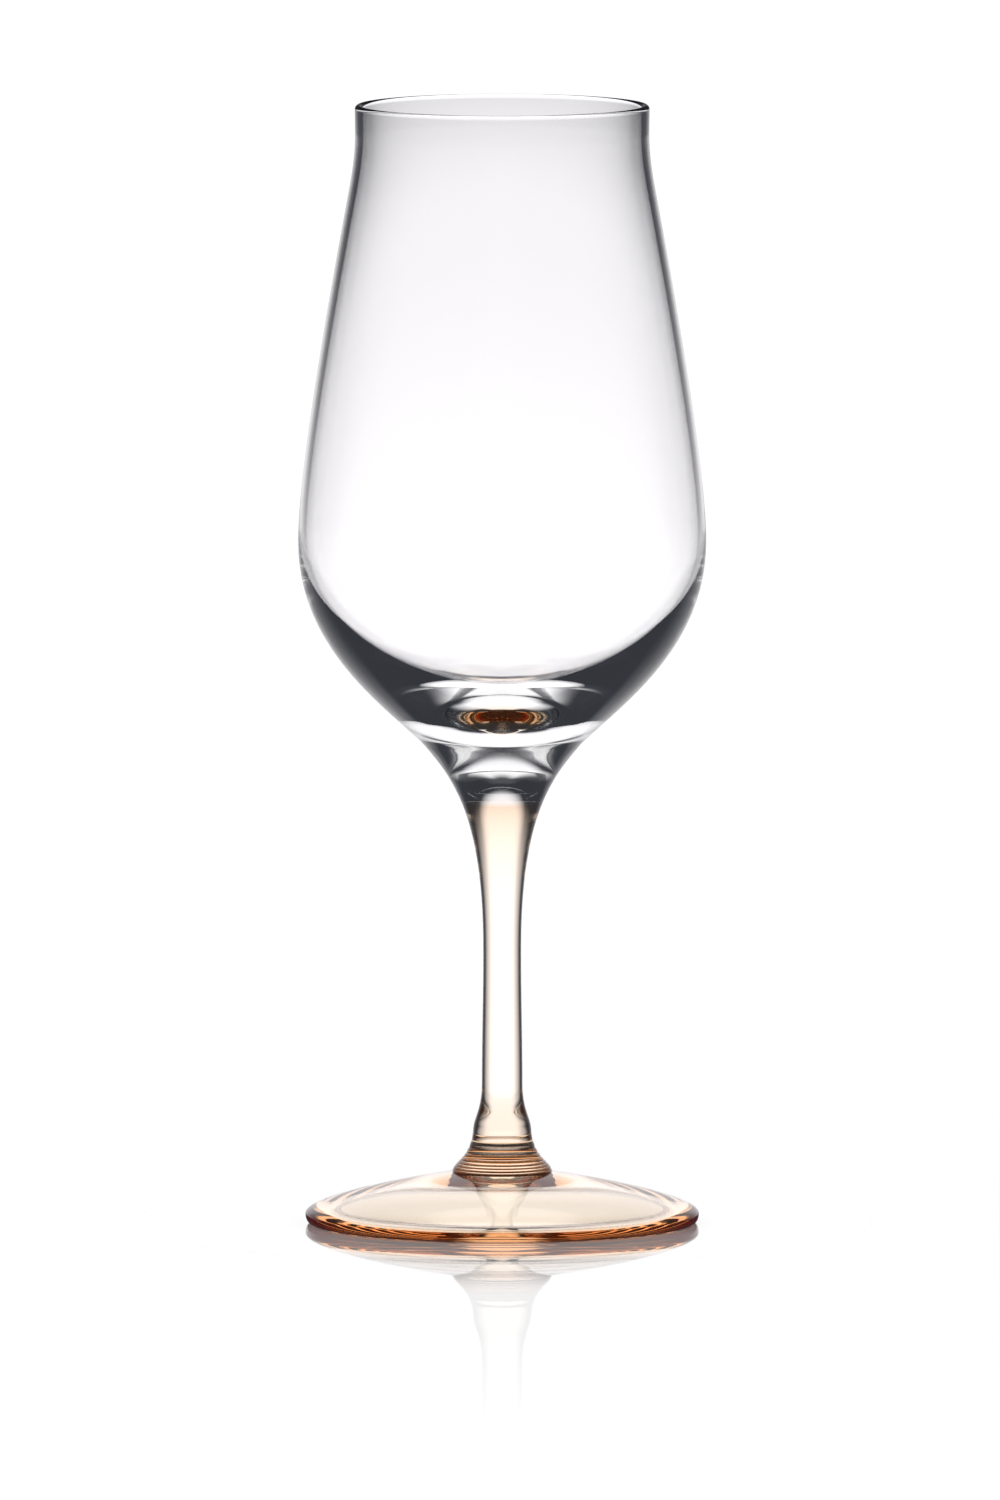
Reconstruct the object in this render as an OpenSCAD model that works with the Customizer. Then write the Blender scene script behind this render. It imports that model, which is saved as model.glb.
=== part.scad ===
// Whisky tasting glass: three-part stemware, a clear blown bowl on an amber drawn stem on an amber foot.
// The three gathers are fused hot, so each joint is a shared domed face with no gap.
// Units are millimetres. The axis is +Z and the foot rests on z = 0.

/* [Overall] */
// Height from the table to the top of the lip
total_h = 165; // [162:0.5:168]

/* [Bowl] */
// Outside diameter of the rounded lip
lip_d = 43.3; // [43.2:0.1:43.8]
// Thickness of the rounded lip
lip_t = 1.2; // [1:0.05:1.4]
// Outside diameter of the upright neck just below the lip
neck_d = 43.2; // [42.6:0.1:43.2]
// Height of the upright neck, lip included
neck_h = 4.4; // [3:0.2:6]
// Outside diameter of the shoulder, where the flank starts to turn upright
shoulder_d = 45.2; // [44.6:0.1:46]
// Height of the shoulder above the table
shoulder_z = 152; // [150:0.2:154]
// Lean of the flank at the shoulder, in degrees from upright
flank_lean = 10.6; // [9:0.2:12]
// Wall thickness at the shoulder
shoulder_t = 1.15; // [0.95:0.05:1.25]
// Outside diameter of the belly, the widest point
belly_d = 60; // [58:0.1:62]
// Height of the belly above the table
belly_z = 100.7; // [99:0.1:103]
// Wall thickness at the belly
belly_t = 1.1; // [0.9:0.05:1.5]
// Rise of the widest point inside the bowl above the belly outside
inside_rise = 0.5; // [0.3:0.1:1.5]

/* [Solid base of the bowl] */
// Height of the lowest point inside the bowl
inside_bottom_z = 74.9; // [74:0.1:76]
// Height of the faint edge at which the round of the bowl ends and the drawn base begins
base_edge_z = 71; // [70:0.2:72]
// Diameter of that edge
base_edge_d = 23.6; // [23:0.1:24.4]
// Lean of the outside just above that edge, in degrees from upright
round_lean = 46.2; // [44.2:0.2:48.2]
// Lean of the outside just below it
base_lean = 41; // [38:0.5:44]

/* [Bowl and stem joint] */
// Height of the edge of the joint between bowl and stem
bowl_joint_z = 64; // [63:0.2:65]
// Diameter of that joint
bowl_joint_d = 13.7; // [13:0.1:14.4]
// Lean of the outside at that joint, in degrees from upright
bowl_joint_lean = 27.5; // [24:0.5:31]
// Depth of the bowl's rounded base in the head of the stem
bowl_seat_depth = 1.5; // [0.5:0.1:3]

/* [Stem] */
// Diameter of the stem at its slimmest
waist_d = 5.6; // [5:0.1:6.4]
// Height of the slimmest point above the table
waist_z = 39.4; // [36:0.2:42]
// Diameter just above the bell-shaped lower end
bell_top_d = 6; // [5.6:0.1:6.6]
// Height at which the bell-shaped lower end begins
bell_top_z = 20.6; // [19:0.2:24]
// Diameter of the bell's lower, upright part
bell_d = 8.6; // [7.6:0.1:8.9]
// Height at which the bell's upright part begins
bell_z = 13.4; // [13:0.1:15]

/* [Stem and foot joint] */
// Height of the edge of the joint between stem and foot
foot_joint_z = 12.1; // [11.5:0.1:12.5]
// Diameter of that joint
foot_joint_d = 9; // [8.6:0.1:10]
// Depth of the stem's rounded end in the foot's collar
foot_seat_depth = 0.5; // [0.2:0.1:1]

/* [Foot] */
// Diameter of the foot
foot_d = 57.9; // [56:0.1:60]
// Height of the widest line of the foot's edge
foot_edge_z = 1.3; // [1:0.1:1.6]
// Diameter of the collar where it meets the disc
collar_d = 14.7; // [13.5:0.1:16]
// Height at which the collar meets the disc
collar_z = 7.5; // [7:0.1:8]
// Fall of the disc's upper side away from the collar, in degrees
disc_fall = 10.5; // [9:0.5:12]
// Outside diameter of the flat ring that the foot rests on
ring_d = 55.9; // [54:0.1:56.4]
// Width of that ring
ring_w = 0.9; // [0.6:0.1:2]
// Height of the hollow under the foot
hollow_h = 5.8; // [4:0.1:6]

/* [Hidden] */
$fn = 128;
curve_steps = 24;
clear_glass = [0.86, 0.90, 0.92, 0.35];
amber_glass = [0.93, 0.66, 0.36, 0.6];

// Pull of each curve along its end tangents: longer pulls make a fuller shape
round_pull = 8.6;
belly_pull_down = 15.4;
belly_pull_up = 10.3;
flank_pull = 15.9;
neck_pull = 2.8;
base_pull = 4.6;
base_end_pull = 2.3;
inside_bottom_pull = 5.6;
inside_belly_pull_down = 18.3;
inside_belly_pull_up = 9.6;
inside_flank_pull = 19;
joint_pull_down = 8.9;
waist_pull_up = 4.8;
bell_pull = 3;
collar_pull_down = 3;
collar_pull_up = 1.5;
disc_pull = 22.3;
edge_pull_up = 0.5;
edge_pull_down = 0.7;

// Lean of the collar, in degrees from upright, at its top and at the disc
collar_top_lean = 15;
collar_root_lean = 10;

lip_r = lip_t / 2;
neck_z = total_h - neck_h;
lip_z = total_h - lip_r;

// A step of a given length, at an angle from upright, as [radius, height]
function step_at(lean, length) = length * [sin(lean), cos(lean)];

// Points of a cubic curve from p0 to p3 that leaves p0 towards p1 and reaches p3 from p2
function curve(p0, p1, p2, p3) = [
    for (i = [0 : curve_steps])
        let (t = i / curve_steps, s = 1 - t)
        s * s * s * p0 + 3 * s * s * t * p1 + 3 * s * t * t * p2 + t * t * t * p3
];

// Points of an arc, from one angle to another, anticlockwise from +X
function arc(centre, radius, from, to) = [
    for (i = [0 : curve_steps])
        let (a = from + (to - from) * i / curve_steps)
        centre + radius * [cos(a), sin(a)]
];

// Points of a spherical cap from the axis out to a rim of given diameter and height
function cap(diameter, rim_z, depth) =
    let (r = diameter / 2, ball_r = (r * r + depth * depth) / (2 * depth))
    [
        for (i = [0 : curve_steps])
            let (x = r * i / curve_steps)
            [x, rim_z - depth + ball_r - sqrt(ball_r * ball_r - x * x)]
    ];

function reversed(points) = [for (i = [len(points) - 1 : -1 : 0]) points[i]];

// Faces that two pieces share where they are fused
function bowl_seat() = cap(bowl_joint_d, bowl_joint_z, bowl_seat_depth);
function foot_seat() = cap(foot_joint_d, foot_joint_z, foot_seat_depth);

// Outside of the bowl, from the joint up to the lip
function bowl_outside() =
    let (
        joint = [bowl_joint_d / 2, bowl_joint_z],
        edge = [base_edge_d / 2, base_edge_z],
        belly = [belly_d / 2, belly_z],
        shoulder = [shoulder_d / 2, shoulder_z],
        neck = [neck_d / 2, neck_z]
    )
    concat(
        curve(
            joint,
            joint + step_at(bowl_joint_lean, base_end_pull),
            edge - step_at(base_lean, base_pull),
            edge
        ),
        curve(edge, edge + step_at(round_lean, round_pull), belly - [0, belly_pull_down], belly),
        curve(belly, belly + [0, belly_pull_up], shoulder - step_at(-flank_lean, flank_pull), shoulder),
        curve(shoulder, shoulder + step_at(-flank_lean, neck_pull), neck - [0, neck_pull], neck)
    );

// Inside of the bowl, from the middle of its bottom up to the lip
function bowl_inside() =
    let (
        bottom = [0, inside_bottom_z],
        belly = [belly_d / 2 - belly_t, belly_z + inside_rise],
        shoulder = [shoulder_d / 2 - shoulder_t, shoulder_z],
        neck = [lip_d / 2 - lip_t, neck_z]
    )
    concat(
        curve(bottom, bottom + [inside_bottom_pull, 0], belly - [0, inside_belly_pull_down], belly),
        curve(
            belly,
            belly + [0, inside_belly_pull_up],
            shoulder - step_at(-flank_lean, inside_flank_pull),
            shoulder
        ),
        curve(shoulder, shoulder + step_at(-flank_lean, neck_pull), neck - [0, neck_pull], neck)
    );

// Clear bowl, blown, with a fire-polished lip and a thick solid base that is drawn out below
module bowl() {
    lip = arc([lip_d / 2 - lip_r, lip_z], lip_r, 0, 180);
    color(clear_glass)
        rotate_extrude()
            polygon(concat(bowl_seat(), bowl_outside(), lip, reversed(bowl_inside())));
}

// Amber stem, drawn from a solid gather: a trumpet under the bowl and a bell above the foot
module stem() {
    joint = [bowl_joint_d / 2, bowl_joint_z];
    waist = [waist_d / 2, waist_z];
    bell_top = [bell_top_d / 2, bell_top_z];
    bell = [bell_d / 2, bell_z];
    slim_pull = [0, (waist_z - bell_top_z) / 3];
    trumpet = curve(
        joint,
        joint - step_at(bowl_joint_lean, joint_pull_down),
        waist + [0, waist_pull_up],
        waist
    );
    shaft = curve(waist, waist - slim_pull, bell_top + slim_pull, bell_top);
    flare = curve(bell_top, bell_top - [0, bell_pull], bell + [0, bell_pull], bell);
    color(amber_glass)
        rotate_extrude()
            polygon(concat(bowl_seat(), trumpet, shaft, flare, reversed(foot_seat())));
}

// Amber foot: a tapered collar that takes the stem, on a domed disc hollowed underneath
module foot() {
    joint = [foot_joint_d / 2, foot_joint_z];
    root = [collar_d / 2, collar_z];
    edge = [foot_d / 2, foot_edge_z];
    ring = [ring_d / 2, 0];
    collar = curve(
        joint,
        joint - step_at(-collar_top_lean, collar_pull_down),
        root + step_at(-collar_root_lean, collar_pull_up),
        root
    );
    disc = curve(root, root + step_at(90 + disc_fall, disc_pull), edge + [0, edge_pull_up], edge);
    edge_under = curve(edge, edge - [0, edge_pull_down], ring + [edge_pull_down, 0], ring);
    hollow = cap(ring_d - 2 * ring_w, hollow_h, hollow_h);
    hollow_down = [for (p = reversed(hollow)) [p[0], hollow_h - p[1]]];
    color(amber_glass)
        rotate_extrude()
            polygon(concat(foot_seat(), collar, disc, edge_under, hollow_down));
}

bowl();
stem();
foot();
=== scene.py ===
import math

import bpy
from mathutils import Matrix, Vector, geometry


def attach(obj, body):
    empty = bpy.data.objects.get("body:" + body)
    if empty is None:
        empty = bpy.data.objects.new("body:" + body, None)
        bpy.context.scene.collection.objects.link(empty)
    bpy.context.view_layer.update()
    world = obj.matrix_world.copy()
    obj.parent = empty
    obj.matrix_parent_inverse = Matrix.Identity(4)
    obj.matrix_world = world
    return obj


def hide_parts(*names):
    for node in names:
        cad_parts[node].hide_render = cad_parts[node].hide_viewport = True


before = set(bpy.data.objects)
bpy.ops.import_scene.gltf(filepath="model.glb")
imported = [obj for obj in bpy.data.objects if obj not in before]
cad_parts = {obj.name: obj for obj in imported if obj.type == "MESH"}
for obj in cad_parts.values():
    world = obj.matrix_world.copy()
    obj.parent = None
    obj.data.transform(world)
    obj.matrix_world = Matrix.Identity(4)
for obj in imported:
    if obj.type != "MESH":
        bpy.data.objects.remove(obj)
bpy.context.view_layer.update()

# Bowl: clear glass, blown into a tulip that narrows to the mouth, with a fire-polished lip.
# Its thick solid base is drawn out below a faint edge, and the amber stem is fused to it hot.

MM = 0.001
# Sizes are in millimetres. A lean is in degrees from upright, and a pull is how far a curve holds to it
TOTAL_H = 165.0
LIP_D, LIP_T = 43.3, 1.2
NECK_D, NECK_H, NECK_PULL = 43.2, 4.4, 2.8
SHOULDER_D, SHOULDER_Z, SHOULDER_T = 45.2, 152.0, 1.15
FLANK_LEAN, FLANK_PULL = 10.6, 15.9
BELLY_D, BELLY_Z, BELLY_T = 60.0, 100.7, 1.1
BELLY_PULL_UP, BELLY_PULL_DOWN = 10.3, 15.4
BASE_EDGE_D, BASE_EDGE_Z = 23.6, 71.0
ROUND_LEAN, ROUND_PULL = 46.2, 8.6
BASE_LEAN, BASE_PULL, BASE_END_PULL = 41.0, 4.6, 2.3
BOWL_JOINT_D, BOWL_JOINT_Z, BOWL_JOINT_LEAN, BOWL_SEAT = 13.7, 64.0, 27.5, 1.5
INSIDE_BOTTOM_Z, INSIDE_RISE = 74.9, 0.5
INSIDE_BOTTOM_PULL, INSIDE_BELLY_PULL_DOWN = 5.6, 18.3
INSIDE_BELLY_PULL_UP, INSIDE_FLANK_PULL = 9.6, 19.0
# Fused faces stop this far short of each other. They lie about level, near the height of their joint
FUSED_GAP, FUSED_NEAR, FUSED_LEVEL = 0.004, 0.1, 0.7
# The mesh is this fine. Points closer than the merge are one, and an edge is sharp from this angle on
CURVE_STEPS, SPIN_STEPS, MERGE, SHARP_FROM = 24, 240, 0.001, 30


def at(radius, height):
    """A point of an outline, in millimetres from the axis and above the table."""
    return Vector((radius, height))


def step_at(lean, length):
    """A step of a length, at an angle in degrees from upright."""
    return length * Vector((math.sin(math.radians(lean)), math.cos(math.radians(lean))))


def straight(start, end):
    """A straight stretch of an outline."""
    return start, start.lerp(end, 1 / 3), start.lerp(end, 2 / 3), end


def dome(diameter, rim_z, depth):
    """A shallow round cap, from the axis out to its rim."""
    radius = diameter / 2
    ball = (radius**2 + depth**2) / (2 * depth)
    turn = math.asin(radius / ball)
    pull = ball * 4 / 3 * math.tan(turn / 4)
    rim = at(radius, rim_z)
    crown = at(0, rim_z - depth)
    return crown, crown + at(pull, 0), rim - step_at(90 - math.degrees(turn), pull), rim


def back(stretches):
    """An outline run through the other way."""
    return [stretch[::-1] for stretch in stretches[::-1]]


def spin_glass(name, outline):
    """Draw half of a round piece as one Bezier line and spin it about the axis into a closed skin."""
    bpy.ops.object.select_all(action="DESELECT")
    bpy.ops.curve.primitive_bezier_curve_add(location=(0, 0, 0))
    piece = bpy.context.object
    piece.name = piece.data.name = name
    spline = piece.data.splines[0]
    spline.bezier_points.add(len(outline) - 1)
    spline.resolution_u = CURVE_STEPS
    for knot in spline.bezier_points:
        knot.handle_left_type = knot.handle_right_type = "FREE"
    for number, (start, leaving, reaching, end) in enumerate(outline):
        first, second = spline.bezier_points[number : number + 2]
        first.co = Vector((start.x, 0, start.y)) * MM
        first.handle_right = Vector((leaving.x, 0, leaving.y)) * MM
        second.handle_left = Vector((reaching.x, 0, reaching.y)) * MM
        second.co = Vector((end.x, 0, end.y)) * MM
    bpy.ops.object.convert(target="MESH")
    bpy.ops.object.mode_set(mode="EDIT")
    bpy.ops.mesh.select_all(action="SELECT")
    bpy.ops.mesh.spin(steps=SPIN_STEPS, angle=math.tau, center=(0, 0, 0), axis=(0, 0, 1))
    bpy.ops.mesh.select_all(action="SELECT")
    bpy.ops.mesh.remove_doubles(threshold=MERGE * MM)
    bpy.ops.mesh.normals_make_consistent(inside=False)
    bpy.ops.object.mode_set(mode="OBJECT")
    bpy.ops.object.shade_smooth_by_angle(angle=math.radians(SHARP_FROM))
    return piece


def mark_fused(piece, joint_z, seat, radius):
    """Mark the faces of a piece that are fused to the next one, where light goes straight on."""
    marks = piece.data.attributes.get("fused") or piece.data.attributes.new("fused", "FLOAT", "FACE")
    for face in piece.data.polygons:
        in_seat = joint_z - seat - FUSED_NEAR < face.center.z / MM < joint_z + FUSED_NEAR
        if in_seat and abs(face.normal.z) > FUSED_LEVEL and face.center.xy.length / MM < radius:
            marks.data[face.index].value = 1.0


joint = at(BOWL_JOINT_D / 2, BOWL_JOINT_Z + FUSED_GAP)
edge = at(BASE_EDGE_D / 2, BASE_EDGE_Z)
belly = at(BELLY_D / 2, BELLY_Z)
shoulder = at(SHOULDER_D / 2, SHOULDER_Z)
neck = at(NECK_D / 2, TOTAL_H - NECK_H)
bowl_outside = [
    (joint, joint + step_at(BOWL_JOINT_LEAN, BASE_END_PULL), edge - step_at(BASE_LEAN, BASE_PULL), edge),
    (edge, edge + step_at(ROUND_LEAN, ROUND_PULL), belly - at(0, BELLY_PULL_DOWN), belly),
    (belly, belly + at(0, BELLY_PULL_UP), shoulder - step_at(-FLANK_LEAN, FLANK_PULL), shoulder),
    (shoulder, shoulder + step_at(-FLANK_LEAN, NECK_PULL), neck - at(0, NECK_PULL), neck),
]

lip_r = LIP_T / 2
lip_pull = lip_r * 4 / 3 * math.tan(math.radians(90) / 4)
lip_outer = at(LIP_D / 2, TOTAL_H - lip_r)
lip_top = at(LIP_D / 2 - lip_r, TOTAL_H)
lip_inner = at(LIP_D / 2 - LIP_T, TOTAL_H - lip_r)
bowl_lip = [
    straight(neck, lip_outer),
    (lip_outer, lip_outer + at(0, lip_pull), lip_top + at(lip_pull, 0), lip_top),
    (lip_top, lip_top - at(lip_pull, 0), lip_inner + at(0, lip_pull), lip_inner),
]

inside_bottom = at(0, INSIDE_BOTTOM_Z)
inside_belly = at(BELLY_D / 2 - BELLY_T, BELLY_Z + INSIDE_RISE)
inside_shoulder = at(SHOULDER_D / 2 - SHOULDER_T, SHOULDER_Z)
inside_neck = at(LIP_D / 2 - LIP_T, TOTAL_H - NECK_H)
bowl_inside = [
    (
        inside_bottom,
        inside_bottom + at(INSIDE_BOTTOM_PULL, 0),
        inside_belly - at(0, INSIDE_BELLY_PULL_DOWN),
        inside_belly,
    ),
    (
        inside_belly,
        inside_belly + at(0, INSIDE_BELLY_PULL_UP),
        inside_shoulder - step_at(-FLANK_LEAN, INSIDE_FLANK_PULL),
        inside_shoulder,
    ),
    (
        inside_shoulder,
        inside_shoulder + step_at(-FLANK_LEAN, NECK_PULL),
        inside_neck - at(0, NECK_PULL),
        inside_neck,
    ),
    straight(inside_neck, lip_inner),
]

bowl_seat = dome(BOWL_JOINT_D, BOWL_JOINT_Z + FUSED_GAP, BOWL_SEAT)
bowl = spin_glass("blown_bowl", [bowl_seat] + bowl_outside + bowl_lip + back(bowl_inside))
mark_fused(bowl, BOWL_JOINT_Z, BOWL_SEAT, BOWL_JOINT_D / 2)


def linear(hex_colour):
    """An sRGB hex colour as linear red, green, blue and alpha."""
    parts = [int(hex_colour[i : i + 2], 16) / 255 for i in (1, 3, 5)]
    return [p / 12.92 if p <= 0.04045 else ((p + 0.055) / 1.055) ** 2.4 for p in parts] + [1.0]


def add_node(tree, kind, settings, inputs):
    """Add a node, give it its settings, and set or link its inputs, by name or in order."""
    made = tree.nodes.new(kind)
    for name, value in settings.items():
        setattr(made, name, value)
    if isinstance(inputs, list):
        inputs = dict(enumerate(inputs))
    for name, value in inputs.items():
        if isinstance(value, bpy.types.Node):
            value = value.outputs[0]
        if isinstance(value, bpy.types.NodeSocket):
            tree.links.new(value, made.inputs[name])
        else:
            made.inputs[name].default_value = value
    return made


def bare_tree(owner):
    """The node tree of a new material or world, with nothing in it."""
    owner.use_nodes = True
    owner.node_tree.nodes.clear()
    return owner.node_tree


def polished_surface(tree):
    """The smooth skin of fire-polished glass, which lets light straight on where it is fused."""
    fused = add_node(tree, "ShaderNodeAttribute", {"attribute_name": "fused"}, {})
    open_face = add_node(tree, "ShaderNodeMath", {"operation": "SUBTRACT"}, [1.0, fused.outputs["Fac"]])
    skin = {"Base Color": linear("#FFFFFF"), "Roughness": 0.0, "IOR": 1.5, "Transmission Weight": 1.0}
    return add_node(tree, "ShaderNodeBsdfPrincipled", {}, skin | {"Alpha": open_face})


# Clear crystal glass, fire-polished: colourless, with a smooth wet gloss and dark lines where it turns away.
clear_crystal = bpy.data.materials.new("fire_polished_clear_crystal")
tree = bare_tree(clear_crystal)
add_node(tree, "ShaderNodeOutputMaterial", {}, {"Surface": polished_surface(tree)})
bowl.data.materials.append(clear_crystal)
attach(bowl, "root")
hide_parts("bowl")

# Stem: amber glass, drawn slim from a solid gather, with a trumpet head and a bell-shaped lower end.
# It is fused hot to the base of the bowl above and to the collar of the foot below.

WAIST_D, WAIST_Z = 5.6, 39.4
JOINT_PULL_DOWN, WAIST_PULL_UP = 8.9, 4.8
BELL_TOP_D, BELL_TOP_Z = 6.0, 20.6
BELL_D, BELL_Z = 8.6, 13.4
BELL_PULL_DOWN, BELL_PULL_UP = 4.2, 2.2
FOOT_JOINT_D, FOOT_JOINT_Z, FOOT_SEAT = 9.0, 12.1, 0.5

joint = at(BOWL_JOINT_D / 2, BOWL_JOINT_Z - FUSED_GAP)
waist = at(WAIST_D / 2, WAIST_Z)
bell_top = at(BELL_TOP_D / 2, BELL_TOP_Z)
bell = at(BELL_D / 2, BELL_Z)
bell_foot = at(FOOT_JOINT_D / 2, FOOT_JOINT_Z + FUSED_GAP)
slim_pull = at(0, (WAIST_Z - BELL_TOP_Z) / 3)
stem_outline = [
    dome(BOWL_JOINT_D, BOWL_JOINT_Z - FUSED_GAP, BOWL_SEAT),
    (joint, joint - step_at(BOWL_JOINT_LEAN, JOINT_PULL_DOWN), waist + at(0, WAIST_PULL_UP), waist),
    (waist, waist - slim_pull, bell_top + slim_pull, bell_top),
    (bell_top, bell_top - at(0, BELL_PULL_DOWN), bell + at(0, BELL_PULL_UP), bell),
    straight(bell, bell_foot),
] + back([dome(FOOT_JOINT_D, FOOT_JOINT_Z + FUSED_GAP, FOOT_SEAT)])
stem = spin_glass("drawn_stem", stem_outline)
mark_fused(stem, BOWL_JOINT_Z, BOWL_SEAT, BOWL_JOINT_D / 2)
mark_fused(stem, FOOT_JOINT_Z, FOOT_SEAT, FOOT_JOINT_D / 2)

# Amber glass, coloured in the melt: honey where it is thin, orange to brown along a thick edge.
# 6 mm of it lets through nearly all the red, 89% of the green and 78% of the blue.
amber_glass = bpy.data.materials.new("fire_polished_amber_glass")
tree = bare_tree(amber_glass)
melt = add_node(tree, "ShaderNodeVolumeAbsorption", {}, {"Color": linear("#FEC759"), "Density": 47.0})
add_node(tree, "ShaderNodeOutputMaterial", {}, {"Surface": polished_surface(tree), "Volume": melt})
stem.data.materials.append(amber_glass)
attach(stem, "root")
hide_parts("stem")

# Foot: amber glass, pressed out of a gather into a collar and a domed disc that is hollow underneath.
# The collar is fused to the bell of the stem, and a narrow flat ring stands on the table.

FOOT_D, FOOT_EDGE_Z = 57.9, 1.3
COLLAR_D, COLLAR_Z = 14.7, 7.5
COLLAR_TOP_LEAN, COLLAR_ROOT_LEAN = 15.0, 10.0
COLLAR_PULL_DOWN, COLLAR_PULL_UP = 3.0, 1.5
# The tool that shaped the collar left fine rings on it, and each swells this far
TOOL_RINGS, RING_SWELL = 8, 0.08
DISC_FALL, DISC_PULL = 10.5, 22.3
EDGE_PULL_UP, EDGE_PULL_DOWN = 0.5, 0.7
RING_D, RING_W, HOLLOW_H = 55.9, 0.9, 5.8

joint = at(FOOT_JOINT_D / 2, FOOT_JOINT_Z - FUSED_GAP)
root = at(COLLAR_D / 2, COLLAR_Z)
rim = at(FOOT_D / 2, FOOT_EDGE_Z)
ring = at(RING_D / 2, 0)
ring_inner = at(RING_D / 2 - RING_W, 0)
hollow = [
    tuple(at(point.x, HOLLOW_H - point.y) for point in dome(2 * ring_inner.x, HOLLOW_H, HOLLOW_H))
]
collar_marks = geometry.interpolate_bezier(
    joint,
    joint - step_at(-COLLAR_TOP_LEAN, COLLAR_PULL_DOWN),
    root + step_at(-COLLAR_ROOT_LEAN, COLLAR_PULL_UP),
    root,
    TOOL_RINGS + 1,
)
collar = []
for above, below in zip(collar_marks, collar_marks[1:]):
    fall = below - above
    swell = at(-fall.y, fall.x).normalized() * RING_SWELL
    collar.append((above, above.lerp(below, 1 / 3) + swell, above.lerp(below, 2 / 3) + swell, below))
foot_outline = [
    dome(FOOT_JOINT_D, FOOT_JOINT_Z - FUSED_GAP, FOOT_SEAT),
    *collar,
    (root, root + step_at(90 + DISC_FALL, DISC_PULL), rim + at(0, EDGE_PULL_UP), rim),
    (rim, rim - at(0, EDGE_PULL_DOWN), ring + at(EDGE_PULL_DOWN, 0), ring),
    straight(ring, ring_inner),
] + back(hollow)
foot = spin_glass("domed_foot", foot_outline)
mark_fused(foot, FOOT_JOINT_Z, FOOT_SEAT, FOOT_JOINT_D / 2)
foot.data.materials.append(amber_glass)
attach(foot, "root")
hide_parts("foot")

# Table: a white acrylic sheet with a polished face, which the glass stands on and which mirrors it.
# The image fades out in front. Under its foot the glass shows painted light and shade on the sheet, and the
# screen elsewhere.

# From here on sizes are in metres. The image fades first to what is left of it, and then to nothing
TABLE_R, TABLE_SIDES, TABLE_Z = 2.0, 96, -0.05 * MM
MIRROR_NEAR, MIRROR_FAR, MIRROR_LEFT = (0.045, 0.1), (0.1, 0.32), 0.18
# In the glass the painted glow and shade under the foot show up to the first distance. They are gone at the
# second, or at the third for light that came straight through the disc of the foot
UNDER_NEAR, UNDER_FAR, UNDER_FOOT = 0.032, 0.05, 0.034
# Painted shade, and a painted honey glow for light that came through the amber disc
DARK_HEX, PAINTED_GLOW_HEX, PAINTED_GLOW_LEVEL = "#34363C", "#F7EDE0", 1.15

bpy.ops.object.select_all(action="DESELECT")
bpy.ops.mesh.primitive_circle_add(
    vertices=TABLE_SIDES, radius=TABLE_R, fill_type="NGON", location=(0, 0, TABLE_Z)
)
table = bpy.context.object
table.name = "table"
bpy.ops.object.transform_apply(location=True)


def glass_light(tree):
    """How many faces of glass light went through, whether by glass alone, and whether it kept straight on.

    Counts are whole numbers, so they are told apart at the halves. Light that the table mirrors goes twice
    through the two sides of the film on it, and that one turn isn't counted.
    """
    path = add_node(tree, "ShaderNodeLightPath", {}, {}).outputs
    direct = add_node(tree, "ShaderNodeMath", {"operation": "LESS_THAN"}, [path["Diffuse Depth"], 0.5])
    by_glass = add_node(tree, "ShaderNodeMath", {"operation": "MULTIPLY"}, [path["Is Singular Ray"], direct])
    mirrored = add_node(tree, "ShaderNodeMath", {"operation": "GREATER_THAN"}, [path["Transparent Depth"], 3.5])
    turns = add_node(tree, "ShaderNodeMath", {"operation": "SUBTRACT"}, [path["Glossy Depth"], mirrored])
    straight_on = add_node(tree, "ShaderNodeMath", {"operation": "LESS_THAN"}, [turns, 0.5])
    return path["Transmission Depth"], by_glass, straight_on


# White acrylic, polished: bright and even, with a clear mirror image at a low angle.
white_acrylic = bpy.data.materials.new("white_gloss_acrylic")
tree = bare_tree(white_acrylic)
place = add_node(tree, "ShaderNodeTexCoord", {}, {}).outputs["Object"]
reach = add_node(tree, "ShaderNodeVectorMath", {"operation": "LENGTH"}, [place]).outputs["Value"]
sheet = {"Base Color": linear("#FFFFFF"), "Roughness": 0.012, "IOR": 1.49}
matt = add_node(tree, "ShaderNodeBsdfPrincipled", {}, sheet | {"Specular IOR Level": 0.0})
gloss = add_node(tree, "ShaderNodeBsdfPrincipled", {}, sheet | {"Coat Weight": 1.0, "Coat Roughness": 0.012})
# A soft step takes a value, two places and the level at each. A level can itself be a soft step
SOFT = {"interpolation_type": "SMOOTHSTEP"}
mirror = add_node(tree, "ShaderNodeMapRange", SOFT, [reach, *MIRROR_NEAR, 1.0, MIRROR_LEFT])
mirror = add_node(tree, "ShaderNodeMapRange", SOFT, [reach, *MIRROR_FAR, mirror, 0.0])
polished = add_node(tree, "ShaderNodeMixShader", {}, [mirror, matt, gloss])
# Under the foot the sheet is painted: a honey glow stands in for light through the amber disc, and painted
# shade for light that turned on its way
faces_met, by_glass, straight_on = glass_light(tree)
one_piece = add_node(tree, "ShaderNodeMath", {"operation": "LESS_THAN"}, [faces_met, 2.5])
disc_light = add_node(tree, "ShaderNodeMath", {"operation": "MULTIPLY"}, [one_piece, straight_on])
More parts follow.
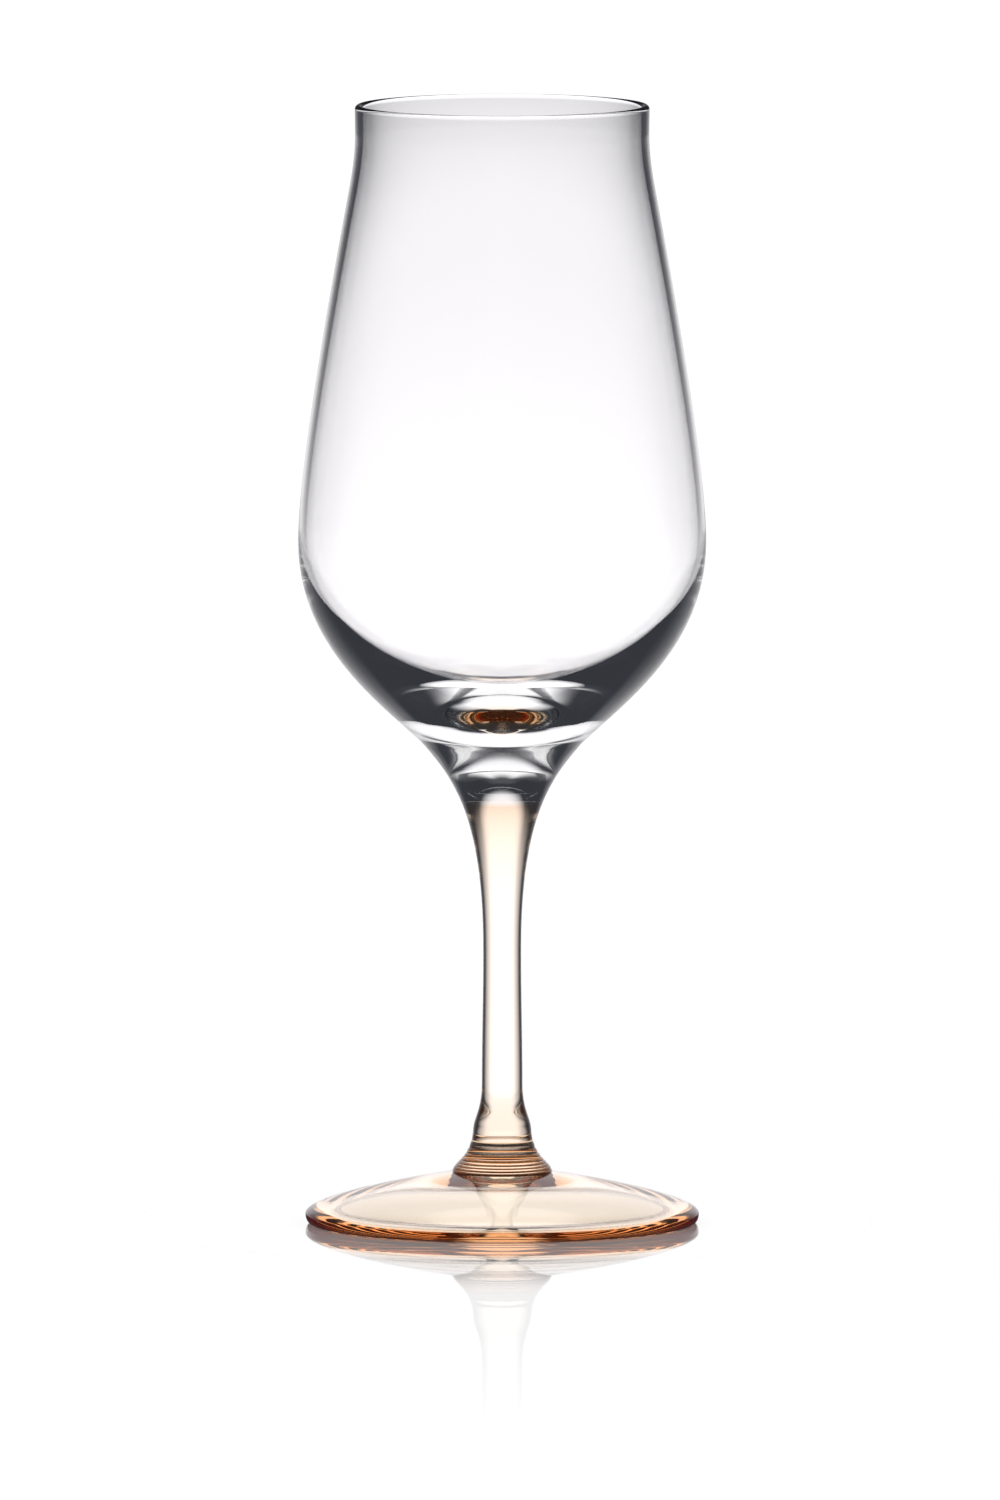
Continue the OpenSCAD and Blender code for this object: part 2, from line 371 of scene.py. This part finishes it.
# Painted shade and a painted honey glow, given off by the sheet itself
dark = add_node(tree, "ShaderNodeEmission", {}, {"Color": linear(DARK_HEX), "Strength": 1.0})
honey = add_node(tree, "ShaderNodeEmission", {}, {"Color": linear(PAINTED_GLOW_HEX), "Strength": PAINTED_GLOW_LEVEL})
painted_glow_and_shade = add_node(tree, "ShaderNodeMixShader", {}, [disc_light, dark, honey])
shade_end = [disc_light, UNDER_FOOT - UNDER_FAR, UNDER_FAR]
shade_end = add_node(tree, "ShaderNodeMath", {"operation": "MULTIPLY_ADD"}, shade_end)
# The painted glow and shade fill only the place under the foot
under = add_node(tree, "ShaderNodeMapRange", SOFT, [reach, UNDER_NEAR, shade_end, 1.0, 0.0])
clear = add_node(tree, "ShaderNodeBsdfTransparent", {}, {})
through = add_node(tree, "ShaderNodeMixShader", {}, [under, clear, painted_glow_and_shade])
seen = add_node(tree, "ShaderNodeMixShader", {}, [by_glass, polished, through])
add_node(tree, "ShaderNodeOutputMaterial", {}, {"Surface": seen})
table.data.materials.append(white_acrylic)

# Film: clear plastic film, cast far too thin to see and laid loose on the table.
# Light that the table mirrors goes through it twice, and is known by that.

FILM_T, FILM_Z = 0.02 * MM, -0.03 * MM

bpy.ops.object.select_all(action="DESELECT")
bpy.ops.mesh.primitive_cylinder_add(
    vertices=TABLE_SIDES, radius=TABLE_R, depth=FILM_T, location=(0, 0, FILM_Z)
)
film = bpy.context.object
film.name = "table_film"
bpy.ops.object.transform_apply(location=True)

# Clear film: it neither bends nor colours the light.
clear_film = bpy.data.materials.new("clear_film")
tree = bare_tree(clear_film)
clear = add_node(tree, "ShaderNodeBsdfTransparent", {}, {})
add_node(tree, "ShaderNodeOutputMaterial", {}, {"Surface": clear})
film.data.materials.append(clear_film)

# Backdrop: a white fabric screen close behind the glass, with soft light on it from behind.
# The light is an upright panel and a wide low glow. Only the glass shows it, so the picture stays plain white.

SCREEN_BACK, SCREEN_HALF, SCREEN_LOW, SCREEN_HIGH = 0.156, 0.45, -0.35, 0.215
# Places on the screen, in metres: each light is whole at the first and gone at the second
PANEL_TOP, PANEL_SOFT = 0.098, (0.039, 0.096)
GLOW_WIDE, GLOW_TALL, GLOW_LOW = (0.005, 0.22), (0.027, 0.173), (-0.040, -0.090)
SIDE_FROM = (0.15, 0.105)
# The screen is at its brightest in a band low down, behind the stem, and less bright again below that
BAND_TOP, BAND_FOOT = (0.045, 0.14), (-0.01, -0.03)
SCREEN_LEVEL, BAND_LEVEL, BELOW_LEVEL = 1.09, 1.42, 1.205
SCREEN_HEX = "#FFFDFF"
# The share of it that the outside of the glass mirrors
OUTER_SHINE = 0.55

bpy.ops.object.select_all(action="DESELECT")
bpy.ops.mesh.primitive_plane_add(size=1, rotation=(math.pi / 2, 0, 0))
screen = bpy.context.object
screen.name = "backdrop"
screen.location = (0, SCREEN_BACK, (SCREEN_LOW + SCREEN_HIGH) / 2)
screen.scale = (2 * SCREEN_HALF, SCREEN_HIGH - SCREEN_LOW, 1)
bpy.ops.object.transform_apply(location=True, rotation=True, scale=True)

# White fabric screen, lit from behind: bright where the lamps stand close, nearly black towards its edges.
lit_screen = bpy.data.materials.new("lit_white_screen")
tree = bare_tree(lit_screen)
place = add_node(tree, "ShaderNodeTexCoord", {}, {}).outputs["Object"]
place = add_node(tree, "ShaderNodeSeparateXYZ", {}, [place]).outputs
across = add_node(tree, "ShaderNodeMath", {"operation": "ABSOLUTE"}, [place["X"]])
height = place["Z"]
glow = add_node(tree, "ShaderNodeMapRange", SOFT, [across, *GLOW_WIDE, 1.0, 0.0])
glow = add_node(tree, "ShaderNodeMapRange", SOFT, [height, *GLOW_TALL, glow, 0.0])
glow = add_node(tree, "ShaderNodeMapRange", SOFT, [height, *GLOW_LOW, glow, 0.0])
# The panel has a round top: its edge is at one distance from an upright line that ends below it
rise = add_node(tree, "ShaderNodeMath", {"operation": "SUBTRACT", "use_clamp": True}, [height, PANEL_TOP])
aside = add_node(tree, "ShaderNodeCombineXYZ", {}, {"X": across, "Z": rise})
aside = add_node(tree, "ShaderNodeVectorMath", {"operation": "LENGTH"}, [aside]).outputs["Value"]
lit = add_node(tree, "ShaderNodeMapRange", SOFT, [aside, *PANEL_SOFT, 1.0, glow])
# Light through both walls of the bowl finds the screen lit again to the sides, so the bowl is clear all round
faces_met, by_glass, straight_on = glass_light(tree)
both_walls = add_node(tree, "ShaderNodeMath", {"operation": "GREATER_THAN"}, [faces_met, 2.5])
both_walls = add_node(tree, "ShaderNodeMath", {"operation": "MULTIPLY"}, [both_walls, straight_on])
sides = add_node(tree, "ShaderNodeMapRange", SOFT, [across, *SIDE_FROM, both_walls, 0.0])
lit = add_node(tree, "ShaderNodeMath", {"operation": "MAXIMUM"}, [lit, sides])
outer = add_node(tree, "ShaderNodeMapRange", SOFT, [faces_met, 0.0, 1.0, OUTER_SHINE, 1.0])
lit = add_node(tree, "ShaderNodeMath", {"operation": "MULTIPLY"}, [lit, outer])
# A mix of colours takes the share at input 0 and the colours at 6 and 7, and gives the result at output 2
shades = {0: lit, 6: linear(DARK_HEX), 7: linear(SCREEN_HEX)}
shade = add_node(tree, "ShaderNodeMix", {"data_type": "RGBA"}, shades).outputs[2]
level = add_node(tree, "ShaderNodeMapRange", SOFT, [height, *BAND_FOOT, BAND_LEVEL, BELOW_LEVEL])
level = add_node(tree, "ShaderNodeMapRange", SOFT, [height, *BAND_TOP, level, SCREEN_LEVEL])
shine = add_node(tree, "ShaderNodeEmission", {}, {"Color": shade, "Strength": level})
clear = add_node(tree, "ShaderNodeBsdfTransparent", {}, {})
shown = add_node(tree, "ShaderNodeMixShader", {}, [by_glass, clear, shine])
add_node(tree, "ShaderNodeOutputMaterial", {}, {"Surface": shown})
screen.data.materials.append(lit_screen)

# Studio: a white room that lights the table evenly from all round. The glass shows dark sides in it, which
# draw its edges, and a soft box overhead. Light that goes straight through the glass meets the white room.

ROOM_LEVEL, BOX_LEVEL = 1.03, 1.2
# Degrees above the horizon
BOX_LOW, BOX_HIGH, ROOM_TOP, FLOOR_FROM = (54, 46), (72, 84), (8, 20), (-50, -35)
# Degrees to either side of straight back
BOX_WIDE, ROOM_FROM = (35, 60), (95, 80)

world = bpy.data.worlds.new("studio")
bpy.context.scene.world = world
tree = bare_tree(world)
way = add_node(tree, "ShaderNodeTexCoord", {}, {}).outputs["Generated"]
way = add_node(tree, "ShaderNodeSeparateXYZ", {}, [way]).outputs
bearing = add_node(tree, "ShaderNodeMath", {"operation": "ARCTAN2"}, [way["X"], way["Y"]])
bearing = add_node(tree, "ShaderNodeMath", {"operation": "ABSOLUTE"}, [bearing])
bearing = add_node(tree, "ShaderNodeMath", {"operation": "DEGREES"}, [bearing])
climb = add_node(tree, "ShaderNodeMath", {"operation": "ARCSINE"}, [way["Z"]])
climb = add_node(tree, "ShaderNodeMath", {"operation": "DEGREES"}, [climb])
box = add_node(tree, "ShaderNodeMapRange", SOFT, [climb, *BOX_LOW, 1.0, 0.0])
box = add_node(tree, "ShaderNodeMapRange", SOFT, [climb, *BOX_HIGH, box, 0.0])
box = add_node(tree, "ShaderNodeMapRange", SOFT, [bearing, *BOX_WIDE, box, 0.0])
_, by_glass, straight_on = glass_light(tree)
room = add_node(tree, "ShaderNodeMapRange", SOFT, [bearing, *ROOM_FROM, straight_on, 0.0])
room = add_node(tree, "ShaderNodeMapRange", SOFT, [climb, *ROOM_TOP, room, 0.0])
room = add_node(tree, "ShaderNodeMapRange", SOFT, [climb, *FLOOR_FROM, straight_on, room])
lit = add_node(tree, "ShaderNodeMath", {"operation": "MAXIMUM"}, [box, room])
shades = {0: lit, 6: linear(DARK_HEX), 7: [BOX_LEVEL] * 3 + [1.0]}
shade = add_node(tree, "ShaderNodeMix", {"data_type": "RGBA"}, shades).outputs[2]
shades = {0: by_glass, 6: [ROOM_LEVEL] * 3 + [1.0], 7: shade}
shade = add_node(tree, "ShaderNodeMix", {"data_type": "RGBA"}, shades).outputs[2]
light = add_node(tree, "ShaderNodeBackground", {}, {"Color": shade, "Strength": 1.0})
add_node(tree, "ShaderNodeOutputWorld", {}, {"Surface": light})

# Light may turn many times inside thick glass before it comes out
bpy.context.scene.cycles.max_bounces = 64
bpy.context.scene.cycles.transmission_bounces = 32
bpy.context.scene.cycles.glossy_bounces = 64
bpy.context.scene.cycles.transparent_max_bounces = 32

# Camera: far back and a little above the glass, so that the lip and the foot show as thin ellipses.
# It is aimed at the middle of the picture, and its lens takes in the picture's height at the glass.

CAMERA_BACK, CAMERA_UP = 5.4, 0.585
AIM_X, AIM_Z = -0.32 * MM, 69.85 * MM
PICTURE_H, PIXELS_PER_MM = 1500, 6.8
FRAME_H = PICTURE_H / PIXELS_PER_MM * MM
SENSOR_W = 36

bpy.ops.object.camera_add(location=(AIM_X, -CAMERA_BACK, CAMERA_UP))
camera = bpy.context.object
drop = math.atan2(CAMERA_UP - AIM_Z, CAMERA_BACK)
camera.rotation_euler = (math.radians(90) - drop, 0, 0)
camera.data.sensor_width = SENSOR_W
camera.data.lens = SENSOR_W * math.hypot(CAMERA_BACK, CAMERA_UP - AIM_Z) / FRAME_H
camera.data.clip_end = 100
bpy.context.scene.camera = camera
bpy.context.scene.view_settings.view_transform = "Standard"
